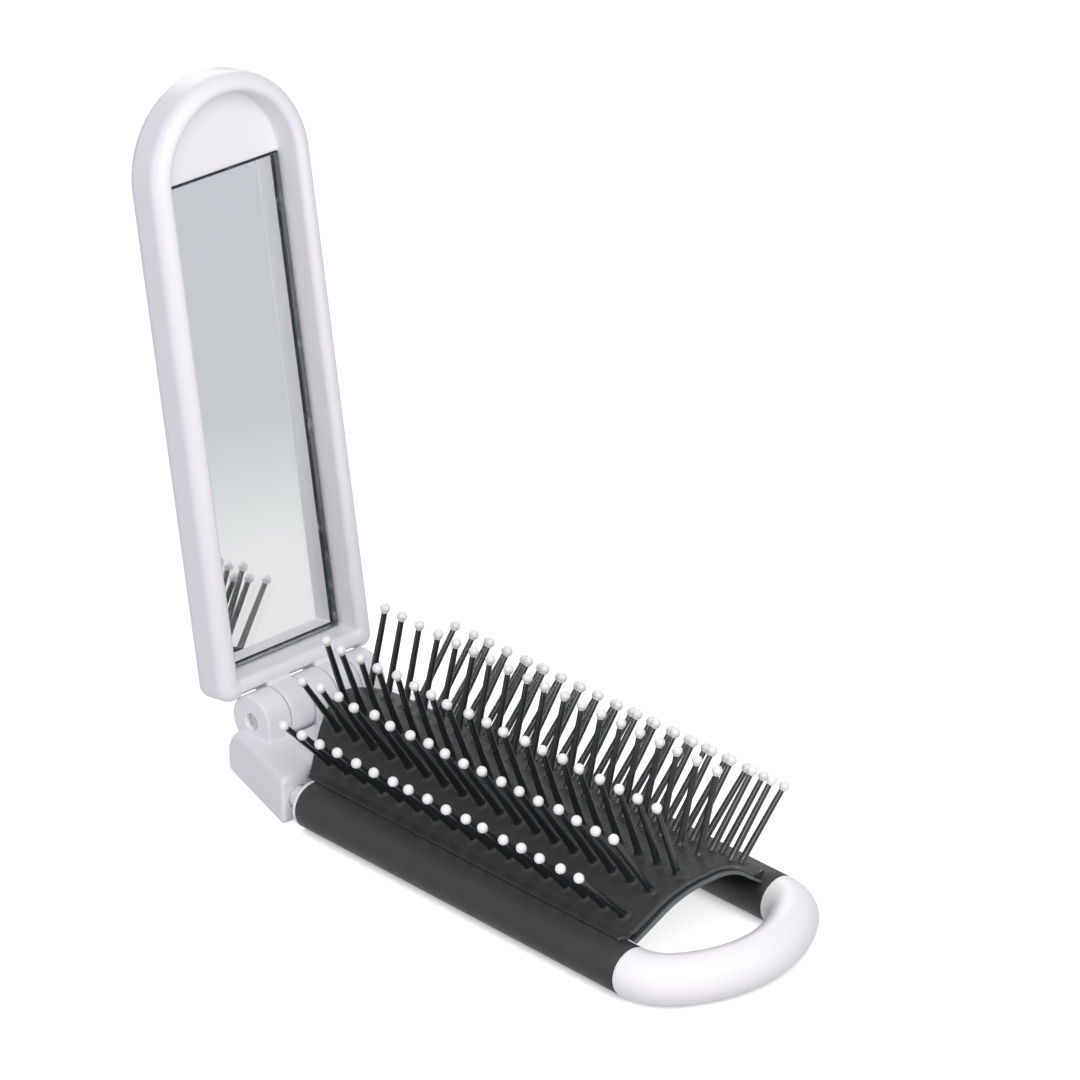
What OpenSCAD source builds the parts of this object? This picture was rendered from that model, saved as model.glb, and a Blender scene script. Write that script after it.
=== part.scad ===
// Folding pocket hairbrush with a mirror in its lid.
// X runs from the hinge towards the finger loop, Y across the brush, Z up from the table.
// The origin lies on the table, in the brush's middle plane and near the hinge block's rear end.

/* [Handle frame] */
// Width over the two side rails
body_w = 42; // [39:0.5:45]
// Diameter of the side rails and of the finger loop
rail_d = 8.4; // [7.6:0.1:9]
// Place along X of the joint between the rails and the loop
joint_x = 101.5; // [97:0.5:125]
// How far the loop's centre line reaches past that joint
loop_reach = 11.1; // [10:0.1:14]
// Place along X of the rear end of the grip sleeves
sleeve_x = 25.2; // [24.6:0.1:28]
// Diameter of the frame's legs, which run through the grip sleeves into the hinge block
leg_d = 4; // [3.6:0.1:4.6]

/* [Pin bed] */
// Outer radius of the arch
bed_r = 16.5; // [16:0.1:17]
// Height above the rails' crowns at which the bed's flanks meet the lips on the rails
flank_rise = 0.325; // [0.25:0.025:0.45]
// Thickness of the black skin
skin_t = 0.55; // [0.45:0.05:0.7]
// Thickness of the carrier plate under the skin
carrier_t = 0.5; // [0.45:0.05:0.8]
// How far the bed's crown stops short of the loop joint
bed_front_gap = 0.1; // [0:0.1:2]
// How far the carrier plate stands out in front of the skin
carrier_step = 1.2; // [0:0.1:1.4]
// Place along X of the bed's rear edge at the crown
bed_rear_x = 14.4; // [14:0.1:15]

/* [Bristle pins] */
// Distance between neighbouring pins of a row
pin_pitch = 4.4; // [4:0.1:5.5]
// Distance of the inner rows' bases from the middle
row_first = 3.3; // [3:0.05:3.5]
// Distance of the outer rows' bases from the rails' centre lines
row_edge = 4.2; // [4:0.05:4.6]
// Pin diameter where it leaves the skin
pin_base_d = 1.24; // [1.1:0.02:1.4]
// Pin diameter at the tip
pin_tip_d = 1; // [0.8:0.02:1.06]
// Diameter of the round white tips
ball_d = 1.8; // [1.6:0.05:2]
// Outward tilt of the inner rows
inner_tilt = 16; // [12:0.1:18]
// Outward tilt of the middle rows
middle_tilt = 32.3; // [29:0.1:33]
// Outward tilt of the outer rows
outer_tilt = 43.3; // [38:0.1:45]
// Length of the inner rows above the skin
inner_len = 14.9; // [13:0.1:15.5]
// Length of the middle rows above the skin
middle_len = 14.8; // [13:0.1:15.8]
// Length of the outer rows above the skin
outer_len = 14.7; // [12:0.1:15.2]

/* [Hinge] */
// Place along X of the hinge axis
hinge_x = 5.6; // [5.3:0.05:5.9]
// Height of the hinge axis above the table
hinge_z = 10.85; // [10.7:0.05:11.1]
// Outer diameter of the hinge knuckles
knuckle_d = 9.4; // [9:0.1:9.6]
// Length of the hinge barrel, which is five knuckles long
barrel_w = 26.8; // [25:0.1:28]
// How far the hinge axis lies in front of the open lid's rim
hinge_out = 0.95; // [0.8:0.05:1.1]
// Diameter of the hinge pin
pin_d = 3; // [2.4:0.1:3.2]
// How deep the pin's ends sit in the ears
pin_sunk = 0.8; // [0.5:0.1:2]

/* [Mirror lid] */
// Width of the lid
lid_w = 34.2; // [32:0.1:36]
// Thickness of the lid
lid_t = 8.6; // [8:0.1:9.4]
// Distance from the hinge axis to the lid's lower edge
lid_foot = 3.6; // [3.4:0.1:4.2]
// Distance from the hinge axis to the lid's top
lid_reach = 110.6; // [105:0.1:119]
// Height of the rim's front above the lid's own plane, which lies just over the mirror's face
rim_front = 5.2; // [4.9:0.05:5.4]
// Width of the rim around the recess
rim_w = 3.5; // [3.2:0.1:4]
// Radius of the lid's rounded outer edges
lid_edge = 2.5; // [1.5:0.1:3]
// Length of the mirror plate
mirror_len = 85.4; // [78:0.1:88]
// Thickness of the mirror plate
mirror_t = 1.8; // [1.4:0.1:2]
// Width of the ground edge around the mirror's face
ground_w = 0.4; // [0.2:0.1:1]
// Lean of the open lid behind the upright
lid_lean = 9.04; // [5:0.01:15]

/* [Hidden] */
$fn = 96;

white = [0.95, 0.95, 0.97];
black = [0.17, 0.17, 0.18];

// Sliding clearances: a leg in its sleeve and socket, a pin in the skin, a tip on its pin
leg_gap = 0.05;
hole_gap = 0.08;
socket_gap = 0.03;
// Fixed and running fits of the hinge pin, and the gap between two knuckles
grip_gap = 0.01;
running_gap = 0.05;
side_gap = 0.25;
// Gap between a part and its cut-out, between faces that touch, and past the end of a leg or pin
clear = 0.1;
fit_gap = 0.01;
end_gap = 0.3;
// How far a face that would only touch a curved one is drawn in, so that they cross
tuck = 0.01;
// Overshoot of a cutting tool, and a size beyond the whole part
cut = 1;
far = 60;

// Handle frame
rail_r = rail_d / 2;
rail_y = body_w / 2 - rail_r;
leg_r = leg_d / 2;
leg_x = 18.2;
// Collar of the legs at the sleeves' rear ends
collar_t = 0.55;
bed_x = joint_x - bed_front_gap;
// The loop's centre line is three arcs, two corners and a flatter front. Their centres and the
// middle of the brush form a triangle with sides in the ratio 3:4:5, so the arcs meet smoothly.
corner_r = 1.5 * loop_reach - rail_y / 2;
front_r = 2 * rail_y - loop_reach;
front_a = atan(3 / 4);

// Lips of the skin on the rails: thickness, and the distances of their edges from the rail's middle
lip_t = 0.35;
lip_in = 2;
lip_out = 0.3;
// Bed: a vault of one arc about an axis along X and two straight flanks, which leave the arc where
// its slope is 3 in 4 and run down to the lips. Depths are measured square to its outer face.
bend_sin = 0.6;
bend_cos = 0.8;
bend_slope = bend_sin / bend_cos;
bend_y = bend_sin * bed_r;
arch_z = rail_d + flank_rise - bed_r / bend_cos + bend_slope * (rail_y - lip_in);
bed_top = arch_z + bed_r;
flank = 12;
// Height at which the layers' flanks end
vault_foot = rail_r + 2;
head_t = 0.3;
head_d = 1.8;
// How far a pin reaches past the middle of its tip, and the socket it sits in
tip_seat = 0.2;
socket_d = pin_tip_d + 2 * (socket_gap + fit_gap);
carrier_depth = skin_t + head_t;
under_depth = carrier_depth + carrier_t;
// How far the carrier plate starts in front of the skin's rear edge
carrier_lead = 0.4;
// The bed's ends bow out towards the middle, by these factors of the distance from it to this power
rear_bow = 0.14;
front_bow = 0.044;
bow_power = 1.5;
bow_steps = 24;
bow_y = rail_y;

// Rows from the right-hand side to the left: side, base, tilt, length, gap to the crown's front edge
row_side = [-1, -1, -1, 1, 1, 1];
row_place = [2, 1, 0, 0, 1, 2];
row_front = [5.9, 4.5, 3.1, 4.9, 2.4, 4.7];
tilts = [inner_tilt, middle_tilt, outer_tilt];
lens = [inner_len, middle_len, outer_len];
row_step = (rail_y - row_edge - row_first) / 2;
// Least distance of a row's last pin from the bed's rear edge, and its growth towards the sides
row_rear_gap = 1.5;
row_rear_growth = 0.12;
// Small differences between the rows' tilts
row_lean = [0.8, 0.5, 3, -1.5, 5, 0];

// Hinge: five knuckles of one pitch. The block has the outer two and the middle one, the lid the others.
knuckle_r = knuckle_d / 2;
knuckle_pitch = barrel_w / 5;
knuckle_w = knuckle_pitch - side_gap;
block_knuckles = [-2, 0, 2];
lid_knuckles = [-1, 1];
// Room for a knuckle in the other piece: radius round the axis, and width
slot_r = knuckle_r + 0.5;
slot_w = knuckle_w + 2 * side_gap;

// Hinge block: the hull of two posts each at its rear, its middle and its front. A post is given by
// its place along X, its distance from the middle, its radius and its height.
block_x = 21.5;
block_edge = 1.6;
rear_post = [1.1, rail_y - 6, 3.2, 4.8];
middle_post = [hinge_x - 1, rail_y - 4.6, 3, rail_d];
front_post = [block_x - block_edge, rail_y + 1.4, block_edge, rail_d + 2 * clear];
// Arched wall of the block under the bed's rear end: thickness, and how far it stands out behind it
wall_t = 3;
wall_lead = 0.5;
wall_y = rail_y - rail_r - 2 * clear;

// Lid
rim_back = lid_t - rim_front;
lid_set = rim_front + hinge_out;
arc_u = lid_reach - lid_w / 2;
recess_half = lid_w / 2 - rim_w;
foot_rim = 3.8;
recess_foot = lid_foot + foot_rim;
panel_x = -0.5;
mirror_x = -0.1;
glue_t = 0.4;
glue_edge = 2;
pocket_x = mirror_x - mirror_t - glue_t;
ground_t = 0.3;
mirror_half = recess_half - clear;
mirror_foot = recess_foot + clear;

function rear_x(y) = bed_rear_x + rear_bow * pow(abs(y), bow_power);
function front_x(y) = bed_x - front_bow * pow(abs(y), bow_power);
// Height and slope of the bed's outer face
function bed_z(y) = abs(y) < bend_y ? arch_z + sqrt(bed_r ^ 2 - y ^ 2)
    : arch_z + bend_cos * bed_r - (abs(y) - bend_y) * bend_slope;
function bed_a(y) = asin(min(abs(y) / bed_r, bend_sin));
function row_y(i) = row_first + row_step * row_place[i];
function row_tilt(i) = tilts[row_place[i]] + row_lean[i];
function row_last(i) = bed_x - row_front[i];
function row_limit(i) = rear_x(row_y(i)) + row_rear_gap + row_rear_growth * row_y(i);
function row_count(i) = floor((row_last(i) - row_limit(i)) / pin_pitch + 0.01) + 1;
// Tilt of a pin away from the bed's own normal
function row_skew(i) = row_tilt(i) - bed_a(row_y(i));
// Depth of a pin's head below the skin's outer face, measured along the pin
function head_depth(i) = (skin_t + head_t / 2) / cos(row_skew(i));

// A bar along X from x0 to x1
module bar_x(x0, x1, r) {
    translate([x0, 0, 0]) rotate([0, 90, 0]) cylinder(r = r, h = x1 - x0);
}

// A bar along Y, centred
module bar_y(w, r) {
    rotate([90, 0, 0]) cylinder(r = r, h = w, center = true);
}

// Both rails' outer surfaces, as a tool for what lies on them
module rail_tool() {
    for (s = [-1, 1]) translate([0, s * rail_y, rail_r]) bar_x(0, joint_x + far, rail_r + 2 * fit_gap);
}

// Everything behind the bed's bowed rear edge, moved forward by step
module rear_tool(step) {
    edge = [for (i = [0:bow_steps]) let(y = bow_y * (2 * i / bow_steps - 1)) [rear_x(y) + step, y]];
    translate([0, 0, -cut]) linear_extrude(bed_top + 2 * cut)
        polygon(concat([[-far, -bow_y - far], [rear_x(bow_y) + step, -bow_y - far]], edge,
            [[rear_x(bow_y) + step, bow_y + far], [-far, bow_y + far]]));
}

// Everything in front of the bed's bowed front edge, moved forward by step
module front_tool(step) {
    edge = [for (i = [0:bow_steps]) let(y = bow_y * (2 * i / bow_steps - 1)) [front_x(y) + step, y]];
    translate([0, 0, -cut]) linear_extrude(bed_top + 2 * cut)
        polygon(concat([[bed_x + far, -bow_y - far], [front_x(bow_y) + step, -bow_y - far]], edge,
            [[front_x(bow_y) + step, bow_y + far], [bed_x + far, bow_y + far]]));
}

// A bar along X with all that lies under the vault from depth on: the arc's whole circle and both
// flanks, which lie a hair under the arc's tangents so that each meets it in one clear line
module vault_filling(depth, length) {
    r = bed_r - depth;
    top = [bend_sin, bend_cos] * (r - tuck);
    side = top + flank * [bend_cos, -bend_sin];
    translate([0, 0, arch_z]) union() {
        bar_x(0, length, r);
        rotate([90, 0, 90]) linear_extrude(length)
            polygon([[-side[0], side[1]], [-top[0], top[1]], top, side]);
    }
}

// A layer of the vault that starts at depth and is t thick
module vault_layer(depth, t, length) {
    difference() {
        vault_filling(depth, length);
        translate([-cut, 0, 0]) vault_filling(depth + t, length + 2 * cut);
        translate([-cut, -far, -far]) cube([length + 2 * cut, 2 * far, far + vault_foot]);
    }
}

// Puts children at each pin of row i, with Z along the pin and the skin's outer face at zero
module each_pin(i) {
    for (k = [0:row_count(i) - 1])
        translate([row_last(i) - k * pin_pitch, row_side[i] * row_y(i), bed_z(row_y(i))])
            rotate([-row_side[i] * row_tilt(i), 0, 0]) children();
}

// A post of the hinge block with a rounded upper edge
module post(x, y, r, h) {
    translate([x, y, 0]) {
        cylinder(r = r, h = h - block_edge, $fn = 32);
        translate([0, 0, h - block_edge]) rotate_extrude($fn = 32) intersection() {
            translate([r - block_edge, 0]) circle(block_edge, $fn = 24);
            translate([0, -block_edge]) square([r, 2 * block_edge]);
        }
    }
}

// Puts children in the middle of each knuckle in the list, on the hinge axis
module on_knuckles(list) {
    for (i = list) translate([hinge_x, i * knuckle_pitch, hinge_z]) children();
}

module hinge_block() {
    color(white) difference() {
        union() {
            hull() for (p = [rear_post, middle_post, front_post], s = [-1, 1])
                post(p[0], s * p[1], p[2], p[3]);
            // Knuckles, each with an upright front
            on_knuckles(block_knuckles) {
                bar_y(knuckle_w, knuckle_r);
                translate([0, -knuckle_w / 2, -hinge_z / 2])
                    cube([knuckle_r - tuck, knuckle_w, hinge_z / 2]);
            }
            // Arched wall that closes the tunnel under the bed and carries its rear end
            intersection() {
                vault_filling(under_depth + clear, block_x + wall_t);
                difference() {
                    translate([0, -wall_y, rail_r / 2]) cube([block_x + wall_t, 2 * wall_y, bed_top]);
                    rear_tool(-wall_lead);
                    difference() {
                        translate([0, -far, 0]) cube([far, 2 * far, far]);
                        rear_tool(wall_t - wall_lead);
                    }
                }
            }
        }
        // Room for the lid's knuckles
        on_knuckles(lid_knuckles) bar_y(slot_w, slot_r);
        // Bore for the hinge pin
        translate([hinge_x, 0, hinge_z]) bar_y(barrel_w + cut, pin_d / 2 + grip_gap);
        // Sockets for the frame's legs
        for (s = [-1, 1]) translate([0, s * rail_y, rail_r]) bar_x(leg_x, block_x + cut, leg_r + leg_gap);
    }
}

// The part of a ring tube of radius r that lies left of the line at angle a
module ring_left_of(r, a) {
    intersection() {
        rotate_extrude() translate([r, 0]) circle(rail_r);
        rotate([0, 0, a]) translate([-far, 0, -far]) cube([2 * far, far, 2 * far]);
    }
}

module loop_frame() {
    color(white) union() {
        // Front arc
        translate([joint_x + loop_reach - front_r, 0, rail_r]) intersection() {
            ring_left_of(front_r, -front_a);
            mirror([0, 1, 0]) ring_left_of(front_r, -front_a);
            translate([0, -far, -far]) cube([far, 2 * far, 2 * far]);
        }
        // Corner arcs
        for (s = [-1, 1]) scale([1, s, 1]) translate([joint_x, rail_y - corner_r, rail_r]) intersection() {
            ring_left_of(corner_r, front_a);
            translate([0, -far, -far]) cube([far, 2 * far, 2 * far]);
        }
        for (s = [-1, 1]) translate([0, s * rail_y, rail_r]) {
            bar_x(leg_x + end_gap, joint_x + cut / 2, leg_r);
            bar_x(sleeve_x - collar_t, sleeve_x, rail_r);
        }
    }
}

module sleeve(side) {
    color(black) translate([0, side * rail_y, rail_r]) difference() {
        bar_x(sleeve_x + 2 * fit_gap, joint_x - 2 * fit_gap, rail_r);
        bar_x(sleeve_x - cut, joint_x + cut, leg_r + leg_gap);
    }
}

module grip_sleeve_left() {
    sleeve(1);
}

module grip_sleeve_right() {
    sleeve(-1);
}

module bed_skin() {
    color(black) difference() {
        union() {
            vault_layer(0, skin_t, bed_x + cut);
            // Lips that lie on the crowns of the rails
            for (s = [-1, 1]) scale([1, s, 1]) translate([0, rail_y - lip_in, rail_d - lip_t])
                cube([bed_x + cut, lip_in - lip_out, 2 * lip_t]);
        }
        rail_tool();
        rear_tool(0);
        front_tool(0);
        for (i = [0:5]) each_pin(i)
            cylinder(d = pin_base_d + 2 * hole_gap, h = 4 * skin_t, center = true, $fn = 24);
    }
}

module pin_carrier() {
    color(black) difference() {
        vault_layer(carrier_depth, carrier_t, bed_x + carrier_step + cut);
        rail_tool();
        rear_tool(carrier_lead);
        front_tool(carrier_step);
    }
}

// A row of tapered pins, each with a flat head held between the skin and the carrier
module bristle_row(i) {
    depth = head_depth(i);
    length = depth + lens[row_place[i]] + tip_seat;
    color(black) each_pin(i) translate([0, 0, -depth]) {
        cylinder(d1 = pin_base_d, d2 = pin_tip_d, h = length, $fn = 24);
        rotate([row_side[i] * row_skew(i), 0, 0])
            cylinder(d = head_d, h = head_t - hole_gap, center = true, $fn = 24);
    }
}

// The row's round tips, each with a blind socket on its pin
module tip_row(i) {
    color(white) each_pin(i) translate([0, 0, lens[row_place[i]]]) difference() {
        sphere(d = ball_d, $fn = 24);
        translate([0, 0, -ball_d])
            cylinder(d = socket_d, h = ball_d + tip_seat + 2 * fit_gap, $fn = 24);
    }
}

module bristle_row_1() { bristle_row(0); }
module bristle_row_2() { bristle_row(1); }
module bristle_row_3() { bristle_row(2); }
module bristle_row_4() { bristle_row(3); }
module bristle_row_5() { bristle_row(4); }
module bristle_row_6() { bristle_row(5); }
module tip_row_1() { tip_row(0); }
module tip_row_2() { tip_row(1); }
module tip_row_3() { tip_row(2); }
module tip_row_4() { tip_row(3); }
module tip_row_5() { tip_row(4); }
module tip_row_6() { tip_row(5); }

module hinge_pin() {
    color([0.75, 0.75, 0.77]) translate([hinge_x, 0, hinge_z])
        bar_y(barrel_w - side_gap - 2 * pin_sunk, pin_d / 2);
}

// Puts children in the open lid's place: Z runs up the lid and X out of the mirror. The lid's own
// plane lies at X zero, and the hinge axis in front of it at lid_set.
module on_lid() {
    translate([hinge_x, 0, hinge_z]) rotate([0, -lid_lean, 0]) translate([-lid_set, 0, 0]) children();
}

// Section of the lid's slab: thickness along X, width along Y, rounded corners
module slab_section() {
    translate([-rim_back + lid_edge, -lid_w / 2]) square([lid_t - 2 * lid_edge, lid_w]);
    translate([-rim_back, -lid_w / 2 + lid_edge]) square([lid_t, lid_w - 2 * lid_edge]);
    for (x = [-rim_back + lid_edge, rim_front - lid_edge], s = [-1, 1])
        translate([x, s * (lid_w / 2 - lid_edge)]) circle(lid_edge);
}

module lid_slab() {
    translate([0, 0, lid_foot + lid_edge]) linear_extrude(arc_u - lid_foot - lid_edge) slab_section();
    // Round top
    translate([0, 0, arc_u]) rotate([0, 90, 0]) rotate([0, 0, 90]) rotate_extrude(angle = 180)
        intersection() {
            rotate([0, 0, 90]) slab_section();
            translate([0, -far]) square([far, 2 * far]);
        }
    // Rounded lower edge
    translate([-rim_back + lid_edge, -lid_w / 2 + lid_edge, lid_foot])
        cube([lid_t - 2 * lid_edge, lid_w - 2 * lid_edge, lid_edge + cut]);
    for (x = [-rim_back + lid_edge, rim_front - lid_edge]) translate([x, 0, lid_foot + lid_edge]) {
        bar_y(lid_w - 2 * lid_edge, lid_edge);
        for (s = [-1, 1]) translate([0, s * (lid_w / 2 - lid_edge), 0]) sphere(lid_edge);
    }
    for (s = [-1, 1]) translate([0, s * (lid_w / 2 - lid_edge), lid_foot + lid_edge])
        bar_x(-rim_back + lid_edge, rim_front - lid_edge, lid_edge);
}

// A recess with a round top, open to the front from depth x
module recess(x, top) {
    translate([x, 0, 0]) {
        translate([0, -recess_half, recess_foot]) cube([far, 2 * recess_half, min(top, arc_u) - recess_foot]);
        if (top > arc_u) translate([0, 0, arc_u]) bar_x(0, far, recess_half);
    }
}

module lid_shell() {
    color(white) on_lid() difference() {
        union() {
            difference() {
                lid_slab();
                // Room for the block's knuckles
                for (i = block_knuckles) translate([lid_set, i * knuckle_pitch, 0]) bar_y(slot_w, slot_r);
            }
            // Knuckles on tongues, which reach up into the lid
            for (i = lid_knuckles) translate([lid_set, i * knuckle_pitch, 0]) {
                bar_y(knuckle_w, knuckle_r);
                translate([tuck - knuckle_r, -knuckle_w / 2, 0])
                    cube([knuckle_r - tuck - hinge_out, knuckle_w, lid_foot + lid_edge]);
            }
        }
        recess(panel_x, lid_reach);
        recess(pocket_x, mirror_foot + mirror_len + clear);
        translate([lid_set, 0, 0]) bar_y(barrel_w, pin_d / 2 + running_gap);
    }
}

module mirror_adhesive() {
    size = [glue_t - 2 * fit_gap, 2 * (mirror_half - glue_edge), mirror_len - 2 * glue_edge];
    color([0.8, 0.8, 0.75]) on_lid() translate([pocket_x + glue_t / 2, 0, mirror_foot + mirror_len / 2])
        cube(size, center = true);
}

// Section of the plate with its ground front edges: half is half its width or length
module plate_section(half) {
    polygon([[pocket_x + glue_t, -half], [pocket_x + glue_t, half], [mirror_x - ground_t, half],
        [mirror_x, half - ground_w], [mirror_x, ground_w - half], [mirror_x - ground_t, -half]]);
}

module mirror_glass() {
    color([0.8, 0.86, 0.9]) on_lid() translate([0, 0, mirror_foot + mirror_len / 2]) intersection() {
        linear_extrude(mirror_len, center = true) plate_section(mirror_half);
        rotate([90, 0, 0]) linear_extrude(2 * mirror_half, center = true) plate_section(mirror_len / 2);
    }
}

hinge_block();
loop_frame();
grip_sleeve_left();
grip_sleeve_right();
bed_skin();
pin_carrier();
bristle_row_1();
bristle_row_2();
bristle_row_3();
bristle_row_4();
bristle_row_5();
bristle_row_6();
tip_row_1();
tip_row_2();
tip_row_3();
tip_row_4();
tip_row_5();
tip_row_6();
hinge_pin();
lid_shell();
mirror_adhesive();
mirror_glass();
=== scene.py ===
# Looks of the folding hairbrush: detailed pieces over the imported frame, materials, light and camera.
# Lengths in the builders are in millimetres and become metres when a mesh is made.
import math

import bpy
import bmesh
import numpy as np
from mathutils import Matrix, Vector


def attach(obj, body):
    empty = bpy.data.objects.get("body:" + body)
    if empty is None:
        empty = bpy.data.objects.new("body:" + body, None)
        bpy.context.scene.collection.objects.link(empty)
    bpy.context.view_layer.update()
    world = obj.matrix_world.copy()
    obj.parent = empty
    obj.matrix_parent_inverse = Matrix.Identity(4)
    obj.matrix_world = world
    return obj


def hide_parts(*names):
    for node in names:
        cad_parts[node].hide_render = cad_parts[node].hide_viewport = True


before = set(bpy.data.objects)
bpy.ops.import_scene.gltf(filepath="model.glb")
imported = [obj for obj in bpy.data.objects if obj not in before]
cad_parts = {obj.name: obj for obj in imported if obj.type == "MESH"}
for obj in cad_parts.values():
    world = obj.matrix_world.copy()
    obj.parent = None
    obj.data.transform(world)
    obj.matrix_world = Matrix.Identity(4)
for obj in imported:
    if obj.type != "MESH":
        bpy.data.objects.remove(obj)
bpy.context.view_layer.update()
MM = 0.001
rng = np.random.default_rng(7)

# Sizes that the part's source gives too, in millimetres
RAIL_R, RAIL_Y = 4.2, 16.8
JOINT_X, REACH = 101.5, 11.1
SLEEVE_X, LEG_R, LEG_X, COLLAR = 25.2, 2.0, 18.2, 0.55
BORE_R = LEG_R + 0.05
BED_R, BED_TOP, BED_X = 16.5, 15.7, 101.4
ARCH_Z = BED_TOP - BED_R
# Sine, cosine and slope of the bed's flanks, and where they leave the arc
BEND_SIN, BEND_COS, BEND_SLOPE = 0.6, 0.8, 0.75
BEND_Y = BEND_SIN * BED_R
BEND_ARC = math.asin(BEND_SIN) * BED_R
# Bed's rear edge at the crown, and how both its ends bow
BED_REAR, REAR_BOW, FRONT_BOW, BOW_POWER = 14.4, 0.14, 0.044, 1.5
SKIN_T, HEAD_T, CARRIER_T, STEP = 0.55, 0.3, 0.5, 1.2
CARRIER_LEAD = 0.4
PITCH = 4.4
WALL_Y, WALL_LEAD, WALL_T = 12.4, 0.5, 3.0
BLOCK_FRONT = 21.5
HINGE_X, HINGE_Z, KNUCKLE_R, SLOT_R = 5.6, 10.85, 4.7, 5.2
KNUCKLE_PITCH, SIDE_GAP = 5.36, 0.25
KNUCKLE_HALF = (KNUCKLE_PITCH - SIDE_GAP) / 2
LID_BORE_R, BLOCK_BORE_R = 1.55, 1.51
LID_W, RIM_BACK, RIM_FRONT, LID_FOOT, LID_REACH = 34.2, 3.4, 5.2, 3.6, 110.6
RIM_W, FOOT_RIM, HINGE_OUT, LID_EDGE = 3.5, 3.8, 0.95, 2.5
# How far the hinge axis lies in front of the lid's own plane
LID_SET = RIM_FRONT + HINGE_OUT
ARC_U = LID_REACH - LID_W / 2
RECESS_HALF, RECESS_FOOT = LID_W / 2 - RIM_W, LID_FOOT + FOOT_RIM
PANEL_X, MIRROR_X, MIRROR_T, GLUE_T = -0.5, -0.1, 1.8, 0.4
CLEAR = 0.1
MIRROR_HALF, MIRROR_FOOT, MIRROR_LEN = RECESS_HALF - CLEAR, RECESS_FOOT + CLEAR, 85.4
# The pocket is longer than the plate by its clearances and a little for its own corners
POCKET_LEN = MIRROR_LEN + 0.3
LEAN = math.radians(9.04)
LID_PLACE = (Matrix.Translation((HINGE_X * MM, 0, HINGE_Z * MM)) @ Matrix.Rotation(-LEAN, 4, "Y")
             @ Matrix.Translation((-LID_SET * MM, 0, 0)))


# ---------------------------------------------------------------- materials

def nodes_of(name):
    mat = bpy.data.materials.new(name)
    mat.use_nodes = True
    tree = mat.node_tree
    return mat, tree, tree.nodes["Principled BSDF"]


def noise(tree, scale, detail=2.0, rough=0.5, stretch=None):
    """Noise of a given scale per metre in object coordinates."""
    coords = tree.nodes.new("ShaderNodeTexCoord")
    out = coords.outputs["Object"]
    if stretch:
        mapping = tree.nodes.new("ShaderNodeMapping")
        mapping.inputs["Scale"].default_value = stretch
        tree.links.new(out, mapping.inputs["Vector"])
        out = mapping.outputs["Vector"]
    tex = tree.nodes.new("ShaderNodeTexNoise")
    tex.inputs["Scale"].default_value = scale
    tex.inputs["Detail"].default_value = detail
    tex.inputs["Roughness"].default_value = rough
    tree.links.new(out, tex.inputs["Vector"])
    return tex.outputs["Fac"]


def ramp(tree, source, stops):
    node = tree.nodes.new("ShaderNodeValToRGB")
    while len(node.color_ramp.elements) < len(stops):
        node.color_ramp.elements.new(0.5)
    for element, (pos, colour) in zip(node.color_ramp.elements, stops):
        element.position = pos
        element.color = (*colour, 1)
    tree.links.new(source, node.inputs["Fac"])
    return node.outputs["Color"]


def spread(tree, source, low, high):
    node = tree.nodes.new("ShaderNodeMapRange")
    node.inputs["From Min"].default_value = 0.3
    node.inputs["From Max"].default_value = 0.7
    node.inputs["To Min"].default_value = low
    node.inputs["To Max"].default_value = high
    tree.links.new(source, node.inputs["Value"])
    return node.outputs["Result"]


def bump(tree, shader, source, strength, distance_mm):
    node = tree.nodes.new("ShaderNodeBump")
    node.inputs["Strength"].default_value = strength
    node.inputs["Distance"].default_value = distance_mm * MM
    tree.links.new(source, node.inputs["Height"])
    tree.links.new(node.outputs["Normal"], shader.inputs["Normal"])


def tint(tree, shader, source, stops):
    tree.links.new(ramp(tree, source, stops), shader.inputs["Base Color"])


def gloss(tree, shader, source, low, high):
    tree.links.new(spread(tree, source, low, high), shader.inputs["Roughness"])


def moulded(name, dark, light, rough, grain, depth, specular=0.5):
    """Moulded plastic: faint colour drift, uneven gloss and a fine surface grain, depth mm deep."""
    mat, tree, bsdf = nodes_of(name)
    blotch = 70
    tint(tree, bsdf, noise(tree, blotch, 3), [(0.3, dark), (0.7, light)])
    gloss(tree, bsdf, noise(tree, blotch * 6, 3, 0.6), *rough)
    bump(tree, bsdf, noise(tree, grain, 3, 0.6), 0.5, depth)
    bsdf.inputs["Specular IOR Level"].default_value = specular
    return mat


white = moulded("White_plastic", (0.834, 0.834, 0.862), (0.851, 0.851, 0.878), (0.31, 0.34), 320, 0.0006)
loop_white = moulded("Loop_plastic", (0.862, 0.862, 0.875), (0.878, 0.878, 0.89), (0.30, 0.33), 320, 0.0006)
sleeve_black = moulded("Grip_rubber", (0.017, 0.017, 0.018), (0.024, 0.024, 0.025), (0.46, 0.58), 3200, 0.012)
skin_black = moulded("Bed_skin_rubber", (0.013, 0.0135, 0.014), (0.019, 0.0195, 0.02), (0.50, 0.62),
                     3000, 0.014)
# Lighter grey for the front edges of the black skin and carrier: painted light where the edges catch the
# lamps
lit_edge_grey = moulded("Bed_front_edge_painted_light", (0.085, 0.089, 0.092), (0.125, 0.13, 0.134), (0.40, 0.52), 2400, 0.02)
plate_black = moulded("Carrier_plastic", (0.012, 0.0125, 0.013), (0.018, 0.019, 0.02), (0.45, 0.58),
                      2400, 0.02)
pin_black = moulded("Pin_nylon", (0.012, 0.013, 0.014), (0.019, 0.0205, 0.0215), (0.17, 0.26), 1800, 0.004,
                    specular=0.7)
tip_white = moulded("Tip_enamel", (0.83, 0.83, 0.82), (0.88, 0.88, 0.87), (0.22, 0.34), 2600, 0.006)
foam = moulded("Adhesive_foam", (0.72, 0.72, 0.66), (0.82, 0.82, 0.76), (0.7, 0.9), 2600, 0.08)

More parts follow.
